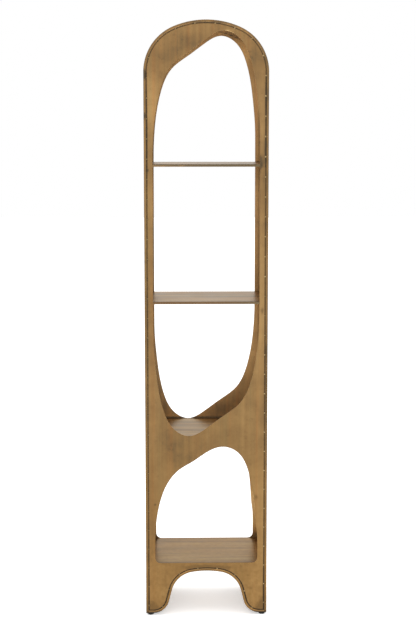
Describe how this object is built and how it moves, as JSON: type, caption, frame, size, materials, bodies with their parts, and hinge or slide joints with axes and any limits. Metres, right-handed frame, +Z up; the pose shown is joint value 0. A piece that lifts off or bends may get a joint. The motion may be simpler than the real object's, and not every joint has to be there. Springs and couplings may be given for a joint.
{
  "type": "storage rack",
  "caption": "Tall arched storage rack in brass-finished sheet metal, with flowing cut-outs in its front and back panels, closed sides, folded shelves and screw feet for levelling.",
  "frame": {"origin": "on the floor, under the middle of the rack", "axes": "+Z up, +X to the right seen from the front, +Y from the front to the back"},
  "size_m": [0.4, 0.3, 1.95],
  "materials": {
    "antique_brass": "antique brass plating on sheet iron, brushed lengthwise, with a dark patina in the grooves",
    "tack_weld": "small weld beads with the plating rubbed bright",
    "zinc_steel": "bright zinc plating",
    "black_plastic": "moulded black plastic",
    "black_rubber": "matt black rubber"
  },
  "bodies": {
    "rack": {"front_left_upright": "antique_brass", "front_right_upright": "antique_brass", "front_arch_bar": "antique_brass", "front_foot_bar": "antique_brass", "front_panel": "antique_brass", "front_tack_welds": "tack_weld", "back_left_upright": "antique_brass", "back_right_upright": "antique_brass", "back_arch_bar": "antique_brass", "back_foot_bar": "antique_brass", "back_panel": "antique_brass", "back_tack_welds": "tack_weld", "left_side_sheet": "antique_brass", "right_side_sheet": "antique_brass", "arch_sheet": "antique_brass", "foot_sheet": "antique_brass", "top_shelf": "antique_brass", "second_shelf": "antique_brass", "third_shelf": "antique_brass", "bottom_shelf": "antique_brass", "front_left_weld_nut": "zinc_steel", "front_right_weld_nut": "zinc_steel", "back_left_weld_nut": "zinc_steel", "back_right_weld_nut": "zinc_steel"},
    "front_left_sole": {"front_left_foot_sole": "black_rubber"},
    "front_left_screw": {"front_left_foot_stud": "zinc_steel", "front_left_foot_knob": "black_plastic"},
    "front_right_sole": {"front_right_foot_sole": "black_rubber"},
    "front_right_screw": {"front_right_foot_stud": "zinc_steel", "front_right_foot_knob": "black_plastic"},
    "back_left_sole": {"back_left_foot_sole": "black_rubber"},
    "back_left_screw": {"back_left_foot_stud": "zinc_steel", "back_left_foot_knob": "black_plastic"},
    "back_right_sole": {"back_right_foot_sole": "black_rubber"},
    "back_right_screw": {"back_right_foot_stud": "zinc_steel", "back_right_foot_knob": "black_plastic"}
  },
  "joints": [
    {"name": "front_left_foot_height", "type": "slide", "parent": "rack", "child": "front_left_sole", "axis": [0, 0, -1], "range_m": [0, 0.01]},
    {"name": "front_left_foot_turn", "type": "hinge", "parent": "front_left_sole", "child": "front_left_screw", "pos_m": [-0.185, -0.134, 0], "axis": [0, 0, -1], "range_deg": [0, 3600]},
    {"name": "front_right_foot_height", "type": "slide", "parent": "rack", "child": "front_right_sole", "axis": [0, 0, -1], "range_m": [0, 0.01]},
    {"name": "front_right_foot_turn", "type": "hinge", "parent": "front_right_sole", "child": "front_right_screw", "pos_m": [0.185, -0.134, 0], "axis": [0, 0, -1], "range_deg": [0, 3600]},
    {"name": "back_left_foot_height", "type": "slide", "parent": "rack", "child": "back_left_sole", "axis": [0, 0, -1], "range_m": [0, 0.01]},
    {"name": "back_left_foot_turn", "type": "hinge", "parent": "back_left_sole", "child": "back_left_screw", "pos_m": [-0.185, 0.134, 0], "axis": [0, 0, -1], "range_deg": [0, 3600]},
    {"name": "back_right_foot_height", "type": "slide", "parent": "rack", "child": "back_right_sole", "axis": [0, 0, -1], "range_m": [0, 0.01]},
    {"name": "back_right_foot_turn", "type": "hinge", "parent": "back_right_sole", "child": "back_right_screw", "pos_m": [0.185, 0.134, 0], "axis": [0, 0, -1], "range_deg": [0, 3600]}
  ],
  "couplings": [
    {"joint": "front_left_foot_turn", "follows": "front_left_foot_height", "rad_per_m": 6283.2},
    {"joint": "front_right_foot_turn", "follows": "front_right_foot_height", "rad_per_m": 6283.2},
    {"joint": "back_left_foot_turn", "follows": "back_left_foot_height", "rad_per_m": 6283.2},
    {"joint": "back_right_foot_turn", "follows": "back_right_foot_height", "rad_per_m": 6283.2}
  ]
}
